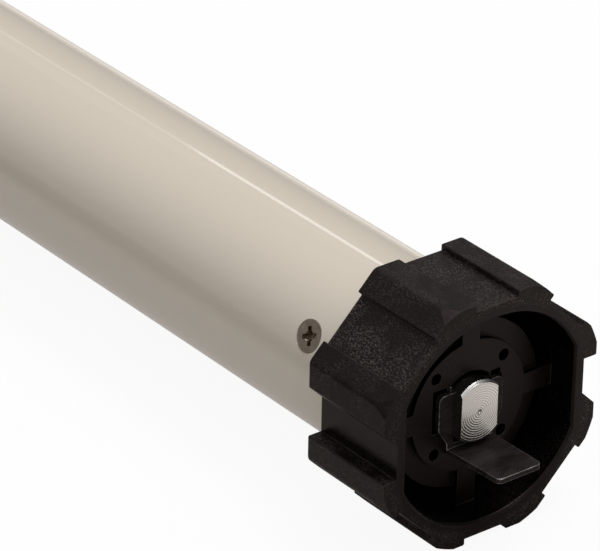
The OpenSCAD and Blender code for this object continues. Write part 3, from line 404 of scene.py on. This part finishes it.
FINISHES = {
    "cream_paint": cream_paint(),
    "black_nylon": black_nylon(),
    "turned_steel": turned_steel(),
    "clip_steel": clip_steel(),
    "screw_steel": plated_steel("screw_steel", (0.46, 0.40, 0.33), dark=(0.17, 0.13, 0.09)),
    "cast_alloy": cast_metal("cast_alloy", (0.52, 0.53, 0.54)),
    "bronze": cast_metal("bronze", (0.48, 0.30, 0.14), grain=0.0005),
    "gear_steel": cut_metal("gear_steel", (0.34, 0.35, 0.37), pitch=0.0006, rough=0.34),
    "gear_plastic": moulded("gear_plastic", (0.66, 0.61, 0.44)),
    "laminations": cut_metal("laminations", (0.25, 0.27, 0.30), pitch=0.0005, rough=0.4),
    "cage_alloy": cast_metal("cage_alloy", (0.66, 0.67, 0.68), grain=0.0009),
    "copper": enamelled_copper(),
    "brake_iron": cast_metal("brake_iron", (0.14, 0.15, 0.17)),
    "brake_lining": moulded("brake_lining", (0.13, 0.06, 0.03), rough=0.7, grain=0.0003),
    "spring_steel": cut_metal("spring_steel", (0.58, 0.58, 0.58), pitch=0.0004, rough=0.25),
    "white_plastic": moulded("white_plastic", (0.78, 0.78, 0.74), rough=0.35),
    "grey_plastic": moulded("grey_plastic", (0.022, 0.022, 0.026), rough=0.5),
    "board_green": circuit_board(),
    "relay_blue": moulded("relay_blue", (0.02, 0.05, 0.33), rough=0.3),
    "terminal_green": moulded("terminal_green", (0.02, 0.22, 0.06)),
    "supply_yellow": moulded("supply_yellow", (0.55, 0.36, 0.03), rough=0.35),
    "radio_can": cast_metal("radio_can", (0.66, 0.67, 0.70), grain=0.003),
    "lead_insulation": moulded("lead_insulation", (0.10, 0.035, 0.012), rough=0.4),
    "magnet_black": moulded("magnet_black", (0.018, 0.018, 0.02), rough=0.55),
    "brass": cut_metal("brass", (0.66, 0.44, 0.15), pitch=0.0005, rough=0.28),
    "clear_plastic": moulded("clear_plastic", (0.62, 0.66, 0.70), rough=0.15),
}


def dress_nodes():
    """Every CAD node gets the finish of its material slot."""
    for part in frame["record"]["subparts"]:
        mesh = NODES[part["node"]].data
        mesh.materials.clear()
        mesh.materials.append(FINISHES[part["material_slot"]])


def live_spring(node):
    """A copy of a coil spring, shaded smooth and held by the motor body.

    It stands for the node, which can't change.
    """
    spring = bpy.data.objects.new(node + "_live", NODES[node].data.copy())
    bpy.context.scene.collection.objects.link(spring)
    bpy.ops.object.select_all(action="DESELECT")
    spring.select_set(True)
    bpy.context.view_layer.objects.active = spring
    bpy.ops.object.mode_set(mode="EDIT")
    bpy.ops.mesh.select_all(action="SELECT")
    bpy.ops.mesh.remove_doubles(threshold=1e-6)
    bpy.ops.object.mode_set(mode="OBJECT")
    bpy.ops.object.shade_smooth_by_angle(angle=math.radians(50))
    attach(spring, "motor")
    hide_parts(node)
    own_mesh(spring)


# The studio


def stage_floor():
    """A floor that is white to the camera, with a faint shadow, and dimmer where it is mirrored:
    mirrors see it glow in painted bands, with a painted shadow near the wheel.
    """
    f = Finish("floor_white")
    seen, mirrored, through = f.rays()
    x, y, _ = f.xyz(f.place())
    beside = x - CAVITY_X
    reach = (beside * beside + y * y).math("SQRT")
    # Near the motor the camera sees a little of the lit floor, which holds the shadow.
    flat_white = f.ramp(reach, (0.2, 0.93), (0.9, 1.0))
    # Painted shadow: the floor's glow that mirrors see is darker near the wheel.
    painted_shadow_near_wheel = f.ramp(reach / FLOOR_RAMP, (0.0, 0.35), (0.14, 0.50), (0.27, 0.95), (0.5, 1.0))
    # Painted reflection: the glow that mirrors see is banded along Y, light and dark, and tinted warm.
    # A place of 0.5 is on the motor's axis, and 0.1 is 100 mm.
    left = ((0.10, 0.30), (0.35, 0.05), (0.40, 0.10), (0.44, 0.50))
    right = ((0.53, 0.54), (0.68, 0.95), (0.95, 0.50))
    painted_reflection_bands = f.ramp(y + 0.5, *left, *right)
    colour = f.blend(seen, (0.42, 0.42, 0.42), (0.80, 0.80, 0.80))
    lit = f.node("ShaderNodeBsdfDiffuse", None, {"Color": colour})
    level = seen + through + mirrored * painted_reflection_bands * painted_shadow_near_wheel
    warmth = f.blend(mirrored, (1, 1, 1), (1.0, 0.93, 0.87))
    glow = f.node("ShaderNodeEmission", None, {"Color": warmth, "Strength": level})
    share = seen * flat_white + through * 0.9 + mirrored
    f.end(f.node("ShaderNodeMixShader", None, {0: share, 1: lit, 2: glow}))
    bpy.ops.mesh.primitive_plane_add(size=30, location=(0, 0, FLOOR_Z))
    floor = bpy.context.active_object
    floor.name = "studio_floor"
    floor.data.materials.append(f.owner)


def light_world():
    """White to the camera. To the motor, a room that is bright above and at -Y, and dim below."""
    world = bpy.data.worlds.new("studio")
    bpy.context.scene.world = world
    w = Shader(world)
    bright_side = (0.16, -0.61, 1.20)
    ways = {0: w.node("ShaderNodeTexCoord", out="Generated"), 1: bright_side}
    towards = w.node("ShaderNodeVectorMath", {"operation": "DOT_PRODUCT"}, ways, out="Value")
    limits = {"From Min": 0.06, "From Max": 0.85, "To Min": 0.06, "To Max": 0.74}
    room = w.node("ShaderNodeMapRange", None, {"Value": towards, **limits})
    seen, _, through = w.rays()
    level = w.node("ShaderNodeMix", None, {0: seen.math("MAXIMUM", through), 2: room, 3: 1.0})
    w.end(w.node("ShaderNodeBackground", None, {"Strength": level}), "ShaderNodeOutputWorld")


def area_light(name, towards, direction, distance, width, length, power, along=(0, 0, 1)):
    """A soft panel in a direction from a point, facing that point. Its length runs along a vector."""
    lamp = bpy.data.lights.new(name, "AREA")
    lamp.shape = "RECTANGLE"
    lamp.size, lamp.size_y = width, length
    lamp.energy = power
    holder = bpy.data.objects.new(name, lamp)
    bpy.context.scene.collection.objects.link(holder)
    away = Vector(direction).normalized()
    side = Vector(along).cross(away).normalized()
    holder.location = Vector(towards) + away * distance
    holder.rotation_mode = "QUATERNION"
    holder.rotation_quaternion = Matrix((side, away.cross(side), away)).transposed().to_quaternion()


def studio_lights():
    """A large panel above, and three behind the tube, which mirrors them as its long highlight."""
    area_light(
        "top_panel", (0.45, 0, 0), (0.10, 0.26, 0.96), distance=1.6, width=1.4, length=0.9, power=18.5
    )
    highlight = (0.49, 0, 0.0225)
    level = (-0.75, -0.66, 0)
    tube = (-0.905, -0.327, -0.27)
    for name, direction, width, length, power, along in (
        ("back_wall", (-0.655, 0.650, 0.37), 1.40, 1.6, 1.3, level),
        ("back_strip", (-0.697, 0.462, 0.548), 0.11, 0.15, 0.062, tube),
        ("back_glow", (-0.73, 0.440, 0.522), 0.06, 0.50, 0.045, tube),
    ):
        area_light(name, highlight, direction, 1.8, width, length, power, along)


def place_camera():
    """The photograph's viewpoint: 967 mm from the rim of the drive wheel, through a long lens."""
    camera = bpy.data.cameras.new("photo_camera")
    camera.sensor_width = 36
    camera.lens = 271.5
    camera.clip_start, camera.clip_end = 0.05, 60
    holder = bpy.data.objects.new("photo_camera", camera)
    bpy.context.scene.collection.objects.link(holder)
    rim_to_camera = Vector((0.63300, -0.54943, 0.48496))
    backwards = Vector((0.6926, -0.5435, 0.4742))
    roll = Quaternion((0, 0, 1), math.radians(1.04))
    holder.location = Vector((WHEEL_RIM_X, 0, 0)) + rim_to_camera
    holder.rotation_mode = "QUATERNION"
    holder.rotation_quaternion = backwards.to_track_quat("Z", "Y") @ roll
    bpy.context.scene.camera = holder


bpy.context.scene.view_settings.view_transform = "Standard"
bpy.ops.object.select_all(action="DESELECT")
dress_nodes()
live_spring("brake_spring")
live_spring("button_spring")
stage_floor()
light_world()
studio_lights()
place_camera()
